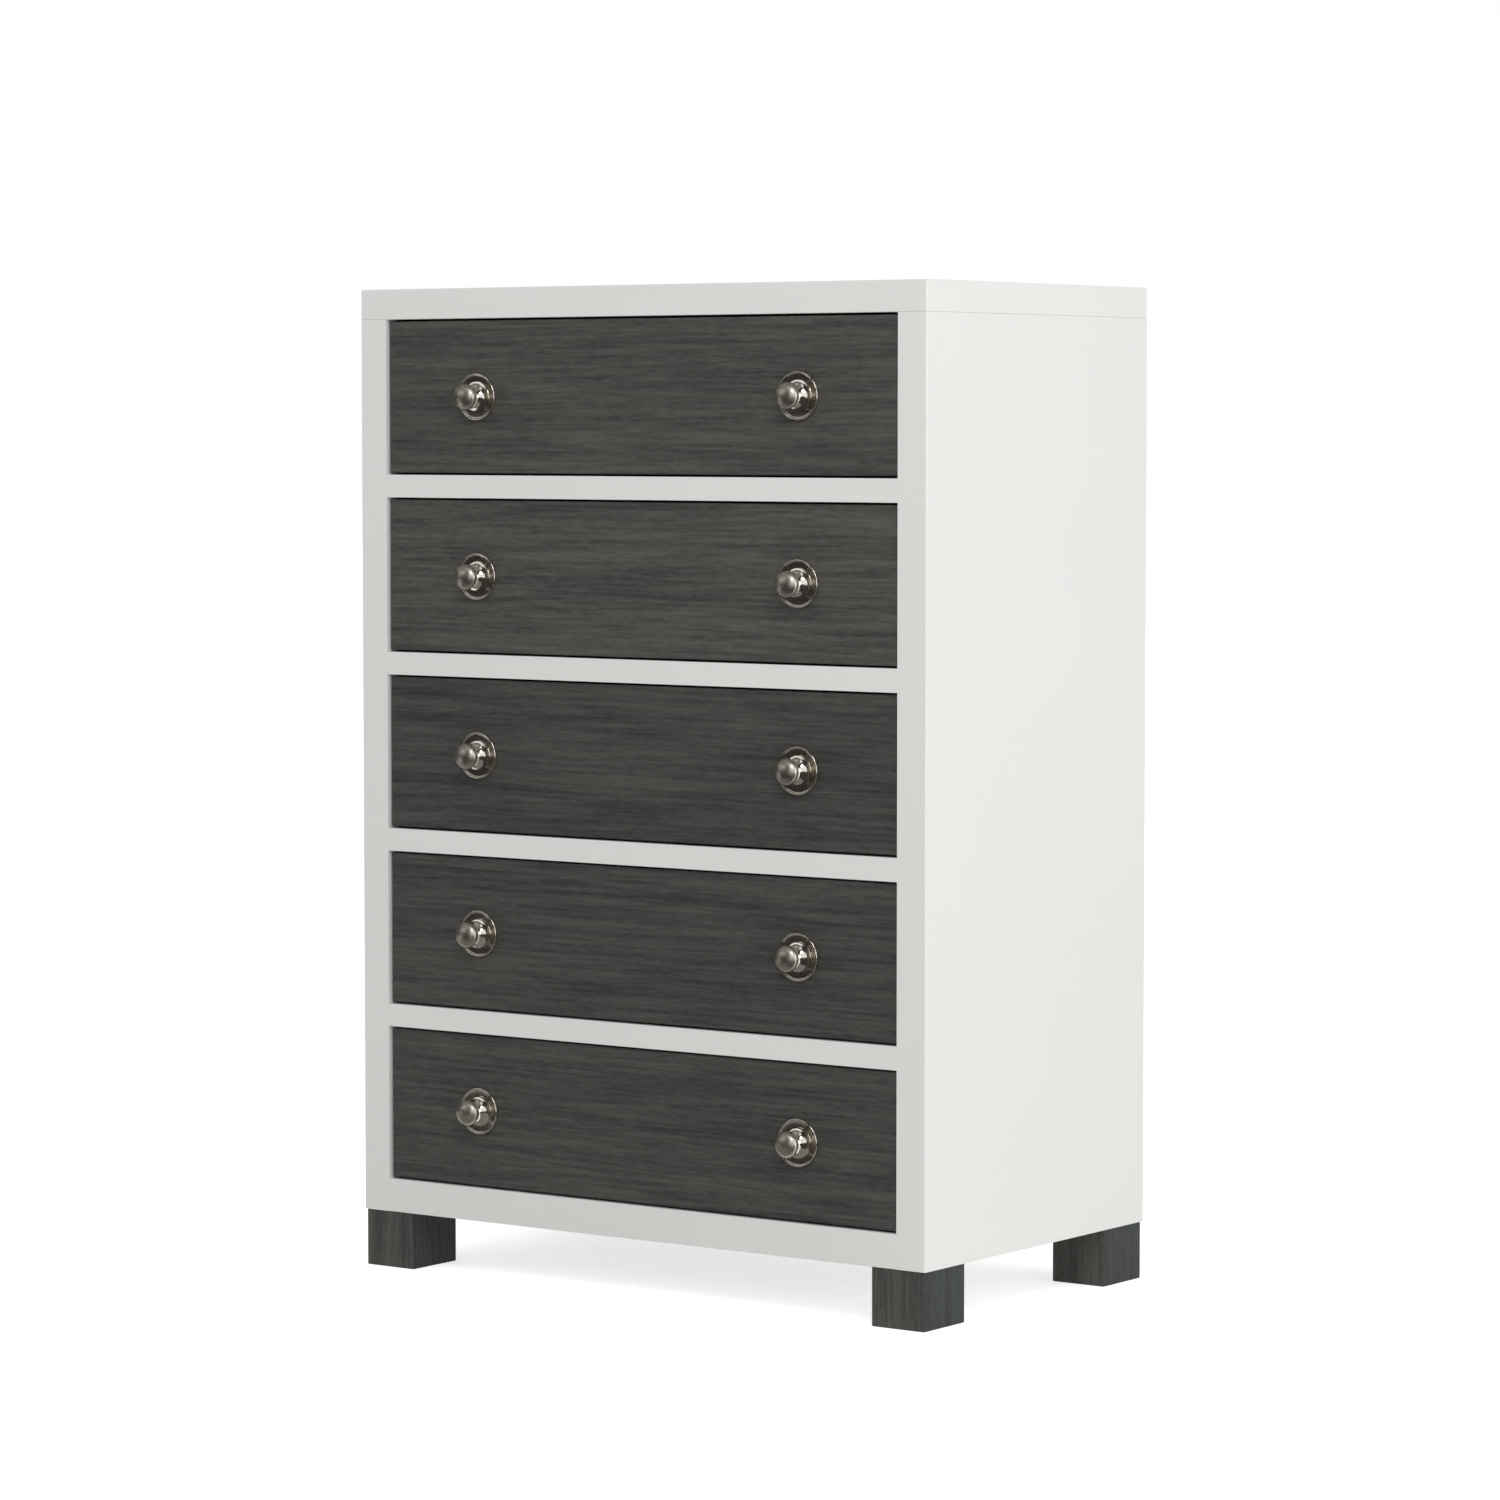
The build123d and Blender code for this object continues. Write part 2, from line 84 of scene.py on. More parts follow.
# The frame
NODES = frame["nodes"]
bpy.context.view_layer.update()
DRAWERS = [name for name in frame["bodies"] if name.startswith("drawer_")]
FRONT_LOW, FRONT_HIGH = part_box("drawer_1_front")
KNOBS_LOW, KNOBS_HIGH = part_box("drawer_1_knobs")
BOX_SIDE_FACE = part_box("drawer_1_right_side")[1].x
BACK_LOW, BACK_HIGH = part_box("back_panel")

# How far the curves of a knob are pulled, as shares of the width or height that each one crosses
ROUND_PULL = 0.5523  # gives a quarter of an ellipse
FOOT_PULL_IN = 0.36
FOOT_PULL_UP = 0.02
NECK_PULL = 0.33
HEAD_PULL = 0.45

# Planes of the flags in metres, and their corners: flat sheets of felt that only reflections show
AHEAD = -7
LEFT = -2.2
OVERHEAD = 4.5
ON_FLOOR = 0.002  # just clear of the floor
ON_FLAG = 0.003  # just clear of a flag on the floor
DARK_FLAGS = (
    ((-16, AHEAD, 0), (LEFT, AHEAD, 0), (LEFT, AHEAD, 2.4), (-16, AHEAD, 2.4)),  # low, ahead on the left
    ((LEFT, -1.6, 0), (LEFT, 0.6, 0), (LEFT, 0.6, 1.5), (LEFT, -1.6, 1.5)),  # low at the left
    ((LEFT, AHEAD, 0), (1.9, AHEAD, 0), (1.9, AHEAD, 7), (LEFT, AHEAD, 6)),  # straight ahead
    ((1.9, AHEAD, 3.2), (12, AHEAD, 5.5), (12, AHEAD, 12), (1.9, AHEAD, 9)),  # high, ahead on the right
    ((0.6, AHEAD, 6), (5, AHEAD, 6), (5, 0, OVERHEAD), (0.6, 0, OVERHEAD)),  # overhead on the right
    # on the floor ahead
    ((-8, AHEAD, ON_FLOOR), (12, AHEAD, ON_FLOOR), (0.45, -0.3, ON_FLOOR), (-1, -1, ON_FLOOR)),
    # on the floor at the right
    ((12, AHEAD, ON_FLOOR), (9, -3.5, ON_FLOOR), (6, -0.7, ON_FLOOR), (0.45, -0.3, ON_FLOOR)),
)
GREY_FLAGS = (
    ((-16, AHEAD, 5.2), (LEFT, AHEAD, 5.2), (LEFT, AHEAD, 12), (-16, AHEAD, 12)),  # high, ahead on the left
    ((LEFT, -1.6, 1.5), (LEFT, 0.6, 1.5), (LEFT, 0.6, 5), (LEFT, -1.6, 5)),  # high at the left
    # overhead on the left
    ((LEFT, -3, OVERHEAD), (0.6, -3, OVERHEAD), (0.6, 0.6, OVERHEAD), (LEFT, 0.6, OVERHEAD)),
    # on the floor at the left
    ((LEFT, -1, ON_FLAG), (0.2, -1, ON_FLAG), (0.4, -0.26, ON_FLAG), (LEFT, -0.26, ON_FLAG)),
)


def linear(hex_colour):
    """An sRGB hex colour as linear red, green and blue."""
    channels = [int(hex_colour[k:k + 2], 16) / 255 for k in (1, 3, 5)]
    return tuple(c / 12.92 if c <= 0.04045 else ((c + 0.055) / 1.055) ** 2.4 for c in channels)


# Settings
def length(name, description, default):
    """A setting for a length in metres."""
    return FloatProperty(name=name, description=description, default=default, unit="LENGTH")


def place(name, description, default):
    """A setting for a point in metres."""
    return FloatVectorProperty(
        name=name, description=description, subtype="TRANSLATION", unit="LENGTH", default=default
    )


def power(name, description, default):
    """A setting for the power of a lamp in watts."""
    return FloatProperty(name=name, description=description, default=default, subtype="POWER", unit="POWER")


def colour(name, description, hex_colour):
    """A setting for a colour."""
    return FloatVectorProperty(
        name=name, description=description, subtype="COLOR", min=0, max=1, default=linear(hex_colour)
    )


class ChestFinishes(bpy.types.PropertyGroup):
    """Colours of the finishes."""

    lacquer: colour("Lacquer", "White lacquer of the case", "#E9E9E7")
    stain_dark: colour("Stain, dark", "Charcoal stain where the pores hold it", "#3D3C3A")
    stain_light: colour("Stain, light", "Charcoal stain on the hard grain", "#595855")
    # Each drawer front's stain colours are divided by its own value here, so the lower three fronts are
    # drawn darker than the top two
    front_darkness: FloatVectorProperty(
        name="Stain depths", description="How deep each drawer front took the stain, from the top", size=5,
        default=(1.0, 0.92, 1.17, 1.15, 1.07),
    )
    foot_depth: FloatProperty(
        name="Stain depth of the feet", description="How deep the feet took the stain", default=0.93
    )
    birch_dark: colour("Birch, dark", "Late wood of the drawer boxes", "#B9976C")
    birch_light: colour("Birch, light", "Early wood of the drawer boxes", "#D6BC93")
    board: colour("Board", "Pale face of the back board", "#CFCBC2")
    nickel_polished: colour("Nickel, polished", "Polished plate of the knobs", "#E6E0D6")
    nickel_satin: colour("Nickel, satin", "Satin plate of the knob heads", "#C4BCB2")
    zinc: colour("Zinc", "Zinc plate of the slides and fasteners", "#B4B6B8")


class ChestKnobs(bpy.types.PropertyGroup):
    """Sizes of a knob, from its dish to its crown."""

    spacing: length(
        "Spacing", "Between the two knobs of a drawer",
        (KNOBS_HIGH.x - KNOBS_LOW.x) - (KNOBS_HIGH.z - KNOBS_LOW.z),
    )
    dish: length("Dish", "Diameter of the dished base", KNOBS_HIGH.z - KNOBS_LOW.z)
    height: length("Height", "From the drawer front to the crown", FRONT_LOW.y - KNOBS_LOW.y)
    rim_width: length("Rim width", "Width of the raised rim", 2.2 * MM)
    rim_height: length("Rim height", "Height of the raised rim", 4.4 * MM)
    dish_floor: length("Dish floor", "Height of the flat floor of the dish", 2.2 * MM)
    foot: length("Foot", "Diameter of the flared foot that stands in the dish", 36.8 * MM)
    foot_edge: length("Foot edge", "Height of the upright edge of the foot", 1.0 * MM)
    neck: length("Neck", "Diameter of the neck", 12.4 * MM)
    head: length("Head", "Diameter of the head", 32.0 * MM)
    crown: length("Crown", "From the widest ring of the head to the crown", 9.6 * MM)
    undercut: length("Undercut", "From the widest ring of the head down to the neck", 6.5 * MM)
    screw_head: length("Screw head", "Diameter of the screw head inside the drawer", 8.0 * MM)
    segments: IntProperty(name="Segments", description="Sides of each turned ring", default=80, min=12)


class ChestScrews(bpy.types.PropertyGroup):
    """Sizes and numbers of the small screws."""

    slide_head: length("Slide screw", "Diameter of the screw heads in the slides", 7.0 * MM)
    slide_count: IntProperty(name="Slide screws", description="In each drawer rail", default=3, min=2)
    slide_inset: length("Slide screw inset", "From the ends of a rail to its screws", 32.0 * MM)
    slide_sheet: length("Slide sheet", "Thickness of the rail's web under a screw", 1.2 * MM)
    back_head: length("Back screw", "Diameter of the screw heads in the back", 7.0 * MM)
    back_count: IntProperty(name="Back screws", description="Round the back board", default=19, min=2)
    back_inset: length("Back screw inset", "From the side edges of the back to its screws", 4.5 * MM)
    back_foot: length("Back screw foot", "From the lower edge of the back to its screws", 8.0 * MM)
    back_top: length("Back screw top", "From the upper edge of the back to its screws", 45.0 * MM)


class ChestStage(bpy.types.PropertyGroup):
    """Camera, floor and light."""

    camera_place: place("Camera", "Place of the camera", (3.7135, -5.1251, 1.0463))
    camera_azimuth: FloatProperty(
        name="Azimuth", description="Turn of the camera to the right of the front", subtype="ANGLE",
        default=math.radians(35.855),
    )
    camera_pitch: FloatProperty(
        name="Pitch", description="Tilt of the camera, down is negative", subtype="ANGLE",
        default=math.radians(-3.618),
    )
    lens: FloatProperty(
        name="Lens", description="Focal length on a 36 mm sensor", unit="CAMERA", default=124.1
    )
    floor_size: length("Floor", "Side of the floor", 60.0)
    floor: colour("Floor", "Pale studio floor", "#F4F4F2")
    floor_glow: FloatProperty(
        name="Floor glow", description="White that the floor shows to the camera and in reflections",
        default=0.62,
    )
    dark_felt: colour("Dark felt", "Ground of the dark flags", "#3C3A38")
    dark_nap: colour("Dark nap", "Nap of the dark flags", "#464442")
    grey_felt: colour("Grey felt", "Ground of the grey flags", "#8F8D88")
    grey_nap: colour("Grey nap", "Nap of the grey flags", "#9A9893")
    sky: FloatProperty(name="Sky", description="Strength of the light from all round", default=0.605)
    lamp_target: place("Lamp target", "Point that the lamps face", (0.0, 0.0, 0.6))
    key_lamp: power("Key lamp", "Soft lamp high at the front right", 56.0)
    key_place: place("Key lamp place", "Place of the key lamp", (2.4, -3.0, 3.4))
    key_size: length("Key lamp size", "Side of the key lamp", 1.8)
    side_lamp: power("Side lamp", "Large soft lamp on the right", 35.0)
    side_place: place("Side lamp place", "Place of the side lamp", (4.2, -0.2, 1.2))
    side_size: length("Side lamp size", "Side of the side lamp", 2.6)


class Chest(bpy.types.PropertyGroup):
    """All settings of the chest."""

    finishes: PointerProperty(type=ChestFinishes)
    knobs: PointerProperty(type=ChestKnobs)
    screws: PointerProperty(type=ChestScrews)
    stage: PointerProperty(type=ChestStage)


# Node trees
def node(tree, kind, inputs=None, **fields):
    """Adds a node, sets its fields, and fills its inputs with values or links them to nodes or sockets."""
    made = tree.nodes.new(kind)
    for key, value in fields.items():
        setattr(made, key, value)
    for key, value in (inputs or {}).items():
        named = [s for s in made.inputs if s.enabled and s.name == key]
        target = named[0] if named else made.inputs[key]
        if isinstance(value, bpy.types.Node):
            value = next(s for s in value.outputs if s.enabled)
        if isinstance(value, bpy.types.NodeSocket):
            tree.links.new(value, target)
        else:
            target.default_value = value
    return made


def empty_finish(name):
    """A material without nodes, and its tree."""
    finish = bpy.data.materials.new(name)
    finish.use_nodes = True
    finish.node_tree.nodes.clear()
    return finish, finish.node_tree


def grain(tree, along, width, run, detail=2.0, sway=0.0):
    """Noise in streaks along X, Y or Z, of a real width and run in metres, whose line may sway."""
    sway_run = 260 * MM
    scale = [1 / width] * 3
    scale["XYZ".index(along)] = 1 / run
    where = node(tree, "ShaderNodeTexCoord").outputs["Object"]
    wander = node(tree, "ShaderNodeTexNoise", {"Vector": where, "Scale": 1 / sway_run, "Detail": 1.0})
    swayed = node(
        tree, "ShaderNodeVectorMath", {0: wander.outputs["Color"], 1: (sway, sway, sway), 2: where},
        operation="MULTIPLY_ADD",
    )
    drawn = node(tree, "ShaderNodeMapping", {"Vector": swayed, "Scale": scale})
    return node(tree, "ShaderNodeTexNoise", {"Vector": drawn, "Scale": 1.0, "Detail": detail})


def mottle(tree, size, detail=2.0):
    """Noise in spots of a real size in metres."""
    return grain(tree, "X", size, size, detail)


def tinted(tree, value, low, high, dark, light):
    """The colour of a noise: dark at its low value, light at its high value."""
    share = node(tree, "ShaderNodeMapRange", {"Value": value, "From Min": low, "From Max": high})
    return node(
        tree, "ShaderNodeMix", {"Factor": share, "A": (*dark, 1.0), "B": (*light, 1.0)}, data_type="RGBA"
    )


def dimmed(bright, share):
    """A colour brought down to a share of itself."""
    return [share * c for c in bright]


def seen_rays(tree):
    """1 for a ray from the camera, off a gloss or through glass, and 0 for one that lights a surface."""
    path = node(tree, "ShaderNodeLightPath").outputs
    seen = path["Is Camera Ray"]
    for ray in ("Is Glossy Ray", "Is Transmission Ray"):
        seen = node(tree, "ShaderNodeMath", {0: seen, 1: path[ray]}, operation="ADD")
    return seen


# Finishes
def white_lacquer(finishes):
    """Sprayed and rubbed lacquer on sanded board: an even white, a soft sheen and a faint ripple."""
    finish, tree = empty_finish("white satin lacquer")
    cloud = mottle(tree, 300 * MM)
    peel = mottle(tree, 5 * MM, 1.0)
    surface = node(tree, "ShaderNodeBsdfPrincipled", {
        "Base Color": tinted(tree, cloud, 0.2, 0.8, dimmed(finishes.lacquer, 0.97), finishes.lacquer),
        "Roughness": node(tree, "ShaderNodeMapRange", {"Value": cloud, "To Min": 0.30, "To Max": 0.44}),
        "Normal": node(tree, "ShaderNodeBump", {"Height": peel, "Distance": 0.03 * MM}),
        "IOR": 1.5,
    })
    node(tree, "ShaderNodeOutputMaterial", {"Surface": surface})
    return finish


def charcoal_oak(finishes, along, depth):
    """Straight-grained oak under a charcoal stain and a matt coat.

    The stain is darkest in the open pores. The faces that turn to X are multiplied by a painted shade,
    darker and cooler.
    The pores are drawn ten times as wide as real ones, so that they show.
    """
    finish, tree = empty_finish(f"charcoal stained oak, grain along {along}")
    bands = grain(tree, along, 15 * MM, 360 * MM, 2.0, sway=3 * MM)
    streaks = grain(tree, along, 4.4 * MM, 105 * MM, 3.0, sway=3 * MM)
    pores = grain(tree, along, 3.2 * MM, 16 * MM, 2.0, sway=3 * MM)
    coarse = node(tree, "ShaderNodeMath", {0: bands, 1: BAND_SHARE, 2: streaks}, operation="MULTIPLY_ADD")
    tone = node(tree, "ShaderNodeMath", {0: pores, 1: PORE_SHARE, 2: coarse}, operation="MULTIPLY_ADD")
    dark = dimmed(finishes.stain_dark, 1 / depth)
    light = dimmed(finishes.stain_light, 1 / depth)
    # Painted shade: the faces that turn to X are drawn darker and cooler than the rest of the stain
    facing = node(tree, "ShaderNodeTexCoord").outputs["Normal"]
    to_x = node(tree, "ShaderNodeVectorMath", {0: facing, 1: (1.0, 0.0, 0.0)}, operation="DOT_PRODUCT")
    across = to_x.outputs["Value"]
    # The stain tone, multiplied by the painted side shade where the face turns to X
    stain = node(tree, "ShaderNodeMix", {
        "Factor": node(tree, "ShaderNodeMath", {0: across, 1: across}, operation="MULTIPLY"),
        "A": tinted(tree, tone, 0.85, 1.45, dark, light),
        "B": PAINTED_SIDE_SHADE,
    }, data_type="RGBA", blend_type="MULTIPLY")
    surface = node(tree, "ShaderNodeBsdfPrincipled", {
        "Base Color": stain,
        "Roughness": node(tree, "ShaderNodeMapRange", {"Value": pores, "To Min": 0.70, "To Max": 0.44}),
        "Normal": node(tree, "ShaderNodeBump", {"Height": tone, "Distance": 0.2 * MM}),
        "Specular IOR Level": 0.2,
    })
    node(tree, "ShaderNodeOutputMaterial", {"Surface": surface})
    return finish


def clear_birch(finishes, along, name="clear finished birch"):
    """Planed birch under a thin clear coat: soft straight figure and a low sheen."""
    finish, tree = empty_finish(f"{name}, grain along {along}")
    figure = grain(tree, along, 9 * MM, 260 * MM, 3.0, sway=20 * MM)
    fleck = grain(tree, along, 1.2 * MM, 22 * MM, 1.0)
    tone = node(tree, "ShaderNodeMath", {0: fleck, 1: FLECK_SHARE, 2: figure}, operation="MULTIPLY_ADD")
    surface = node(tree, "ShaderNodeBsdfPrincipled", {
        "Base Color": tinted(tree, tone, 0.42, 0.98, finishes.birch_dark, finishes.birch_light),
        "Roughness": node(tree, "ShaderNodeMapRange", {"Value": fleck, "To Min": 0.60, "To Max": 0.38}),
        "Normal": node(tree, "ShaderNodeBump", {"Height": fleck, "Distance": 0.06 * MM}),
    })
    node(tree, "ShaderNodeOutputMaterial", {"Surface": surface})
    return finish


def painted_board(finishes):
    """Pressed fibre board with a thin pale paint: fibres show as a fine mottle."""
    finish, tree = empty_finish("painted fibre board")
    fibres = mottle(tree, 2.5 * MM, 4.0)
    surface = node(tree, "ShaderNodeBsdfPrincipled", {
        "Base Color": tinted(tree, fibres, 0.3, 0.7, dimmed(finishes.board, 0.86), finishes.board),
        "Roughness": node(tree, "ShaderNodeMapRange", {"Value": fibres, "To Min": 0.78, "To Max": 0.58}),
        "Normal": node(tree, "ShaderNodeBump", {"Height": fibres, "Distance": 0.08 * MM}),
    })
    node(tree, "ShaderNodeOutputMaterial", {"Surface": surface})
    return finish


def nickel(name, bright, smooth, rough, grit):
    """Nickel plate on a turned knob, polished or blasted satin, with the faint unevenness of the plating.

    The grit of the satin is drawn coarser than the real one, so that it shows.
    """
    finish, tree = empty_finish(name)
    grains = mottle(tree, grit)
    surface = node(tree, "ShaderNodeBsdfPrincipled", {
        "Base Color": tinted(tree, grains, 0.3, 0.7, dimmed(bright, 0.9), bright),
        "Metallic": 1.0,
        "Roughness": node(tree, "ShaderNodeMapRange", {"Value": grains, "To Min": smooth, "To Max": rough}),
    })
    node(tree, "ShaderNodeOutputMaterial", {"Surface": surface})
    return finish


def zinc_plate(finishes, along):
    """Rolled steel with bright zinc plate: faint lines along the rolling, drawn coarse enough to show."""
    finish, tree = empty_finish(f"bright zinc plated steel, rolled along {along}")
    lines = grain(tree, along, 0.9 * MM, 60 * MM)
    surface = node(tree, "ShaderNodeBsdfPrincipled", {
        "Base Color": tinted(tree, lines, 0.3, 0.7, dimmed(finishes.zinc, 0.85), finishes.zinc),
        "Metallic": 1.0,
        "Roughness": node(tree, "ShaderNodeMapRange", {"Value": lines, "To Min": 0.22, "To Max": 0.48}),
        "Normal": node(tree, "ShaderNodeBump", {"Height": lines, "Distance": 0.01 * MM}),
    })
    node(tree, "ShaderNodeOutputMaterial", {"Surface": surface})
    return finish


def studio_paper(stage):
    """Pale matt paper that the camera and the metal see as white, with a soft shadow."""
    finish, tree = empty_finish("pale studio floor")
    cloud = mottle(tree, 600 * MM)
    glow = node(tree, "ShaderNodeMath", {0: seen_rays(tree), 1: stage.floor_glow}, operation="MULTIPLY")
    surface = node(tree, "ShaderNodeBsdfPrincipled", {
        "Base Color": tinted(tree, cloud, 0.2, 0.8, dimmed(stage.floor, 0.985), stage.floor),
        "Roughness": 0.9,
        "Specular IOR Level": 0.0,
        "Emission Color": WHITE,
        "Emission Strength": glow,
    })
    node(tree, "ShaderNodeOutputMaterial", {"Surface": surface})
    return finish


def felt(name, ground, nap):
    """Brushed felt on a frame: dull, with a soft nap."""
    finish, tree = empty_finish(name)
    brushed = mottle(tree, 40 * MM)
    surface = node(tree, "ShaderNodeBsdfPrincipled", {
        "Base Color": tinted(tree, brushed, 0.2, 0.8, ground, nap),
        "Roughness": 1.0,
        "Specular IOR Level": 0.0,
    })
    node(tree, "ShaderNodeOutputMaterial", {"Surface": surface})
    return finish


def coat(names, finish):
    """Gives CAD nodes a finish."""
    for name in names:
        for slot in NODES[name].material_slots:
            slot.material = finish


# Meshes
def bezier(start, pull_start, pull_end, end, steps):
    """Points of one cubic curve, without its first."""
    points = [Vector(p) for p in (start, pull_start, pull_end, end)]
    made = []
    for k in range(1, steps + 1):
        t = k / steps
        weights = ((1 - t) ** 3, 3 * t * (1 - t) ** 2, 3 * t * t * (1 - t), t ** 3)
        made.append(sum((w * p for w, p in zip(weights, points)), Vector((0, 0))))
    return made


def arc(centre, radius, start, end, steps):
    """Points of an arc from a start to an end in degrees, with both ends."""
    angles = [math.radians(start + (end - start) * k / steps) for k in range(steps + 1)]
    return [centre + radius * Vector((math.cos(a), math.sin(a))) for a in angles]


def ring(mesh, radius, y, segments):
    """Adds the points of a ring round the Y axis, or one point many times where the ring closes."""
    if radius < CLOSED_RADIUS:
        return [mesh.verts.new((0, y, 0))] * segments
    angles = [2 * math.pi * k / segments for k in range(segments)]
    return [mesh.verts.new((radius * math.cos(a), y, radius * math.sin(a))) for a in angles]


def join_rings(mesh, rings):
    """Adds the faces between each ring of points and the next."""
    faces = []
    for lower, upper in zip(rings, rings[1:]):
        for k in range(len(lower)):
            after = (k + 1) % len(lower)
            corners = dict.fromkeys((lower[k], lower[after], upper[after], upper[k]))
            faces.append(mesh.faces.new(list(corners)))
    return faces


def ring_edges(mesh, points):
    """The edges round a ring of points."""
    return [mesh.edges.get((points[k], points[(k + 1) % len(points)])) for k in range(len(points))]


def knob_outline(knobs):
    """Half section of a knob as radius and height pairs, and the height where the satin head begins."""
    dish = knobs.dish / 2
    rim = knobs.rim_width / 2
    rim_centre = Vector((dish - rim, knobs.rim_height - rim))
    fillet = rim_centre.y - knobs.dish_floor
    fillet_centre = Vector((dish - 2 * rim - fillet, rim_centre.y))
    foot = Vector((knobs.foot / 2, knobs.dish_floor + knobs.foot_edge))
    neck = Vector((knobs.neck / 2, knobs.height - knobs.crown - knobs.undercut))
    widest = Vector((knobs.head / 2, knobs.height - knobs.crown))
    crown = Vector((0, knobs.height))
    across = foot.x - neck.x
    rise = neck.y - foot.y
    outline = [Vector((0, 0)), Vector((dish, 0))]
    outline += arc(rim_centre, rim, 0, 180, steps=10)
    outline += arc(fillet_centre, fillet, 0, -90, steps=5)[1:]
    outline += [Vector((foot.x, knobs.dish_floor)), foot]
    foot_pull = foot + Vector((-FOOT_PULL_IN * across, FOOT_PULL_UP * rise))
    neck_pull = Vector((neck.x, foot.y + NECK_PULL * rise))
    outline += bezier(foot, foot_pull, neck_pull, neck, steps=28)
    under = Vector((0, HEAD_PULL * knobs.undercut))
    outline += bezier(neck, neck + under, widest - under, widest, steps=14)
    side_pull = widest + Vector((0, ROUND_PULL * knobs.crown))
    crown_pull = crown + Vector((ROUND_PULL * widest.x, 0))
    outline += bezier(widest, side_pull, crown_pull, crown, steps=20)
    return outline, neck.y


def pan_head(mesh, diameter, base, segments=32):
    """Adds a domed screw head with a cross recess, standing on the plane y = base and facing +Y."""
    radius = diameter / 2
    thick = 0.32 * diameter
    edge = 0.35 * thick
    shoulder = 0.8 * thick
    brow = 0.75 * radius
    flat = 0.62 * radius
    arm = 0.28 * diameter
    slot = 0.07 * diameter
    sink = 0.16 * diameter
    outline = [Vector((radius, 0)), Vector((radius, edge))]
    outline += bezier((radius, edge), (radius, shoulder), (brow, thick), (flat, thick), steps=6)
    rings = [ring(mesh, distance, base + height, segments) for distance, height in outline]
    join_rings(mesh, rings)
    cross = [
        (arm, -slot), (arm, slot), (slot, slot), (slot, arm), (-slot, arm), (-slot, slot),
        (-arm, slot), (-arm, -slot), (-slot, -slot), (-slot, -arm), (slot, -arm), (slot, -slot),
    ]
    top = [mesh.verts.new((x, base + thick, z)) for x, z in cross]
    floor = [mesh.verts.new((x, base + thick - sink, z)) for x, z in cross]
    join_rings(mesh, [top, floor])
    mesh.faces.new(floor)
    bmesh.ops.triangle_fill(
        mesh, use_beauty=True, edges=ring_edges(mesh, rings[-1]) + ring_edges(mesh, top)
    )


def stamp(name, finish, shape):
    """An object to copy, from a bmesh that it uses up."""
    for face in shape.faces:
        face.smooth = True
    bmesh.ops.recalc_face_normals(shape, faces=shape.faces)
    mesh = bpy.data.meshes.new(name)
    mesh.materials.append(finish)
    shape.to_mesh(mesh)
    shape.free()
    mesh.set_sharp_from_angle(angle=SHARP_ANGLE)
    made = bpy.data.objects.new(name, mesh)
    bpy.context.scene.collection.objects.link(made)
    return made


def screw_stamp(name, finish, diameter):
    """The head of a screw to copy, with its foot at the origin."""
    shape = bmesh.new()
    pan_head(shape, diameter, 0.0)
    return stamp(name, finish, shape)


def drop_stamp(stamped):
    """Removes a stamp once its copies are plain meshes."""
    mesh = stamped.data
    bpy.data.objects.remove(stamped)
    bpy.data.meshes.remove(mesh)


def path_tree():
    """Geometry nodes that set copies of a stamp along the edges of a path, made once for all pieces."""
    name = "copies along a path"
    if name in bpy.data.node_groups:
        return bpy.data.node_groups[name]
    tree = bpy.data.node_groups.new(name, "GeometryNodeTree")
    sockets = (
        ("Path", "INPUT", "NodeSocketGeometry"),
        ("Stamp", "INPUT", "NodeSocketObject"),
        ("Count", "INPUT", "NodeSocketInt"),
        ("Turn", "INPUT", "NodeSocketVector"),
        ("Finish", "INPUT", "NodeSocketMaterial"),
        ("Polished finish", "INPUT", "NodeSocketMaterial"),
        ("Geometry", "OUTPUT", "NodeSocketGeometry"),
    )
    for socket, side, kind in sockets:
        tree.interface.new_socket(name=socket, in_out=side, socket_type=kind)
    given = node(tree, "NodeGroupInput").outputs
    path = node(tree, "GeometryNodeMeshToCurve", {"Mesh": given["Path"]})
    points = node(tree, "GeometryNodeResampleCurve", {"Curve": path, "Count": given["Count"]}, mode="COUNT")
    copied = node(tree, "GeometryNodeObjectInfo", {"Object": given["Stamp"]}).outputs["Geometry"]
    turn = node(tree, "FunctionNodeEulerToRotation", {"Euler": given["Turn"]})
    copies = node(
        tree, "GeometryNodeInstanceOnPoints", {"Points": points, "Instance": copied, "Rotation": turn}
    )
    whole = node(tree, "GeometryNodeRealizeInstances", {"Geometry": copies})
    coated = node(tree, "GeometryNodeSetMaterial", {"Geometry": whole, "Material": given["Finish"]})
    bright = node(tree, "GeometryNodeInputNamedAttribute", {"Name": "polished"}, data_type="BOOLEAN")
    polished = node(tree, "GeometryNodeSetMaterial", {
        "Geometry": coated, "Selection": bright, "Material": given["Polished finish"],
    })
    node(tree, "NodeGroupOutput", {"Geometry": polished})
    return tree


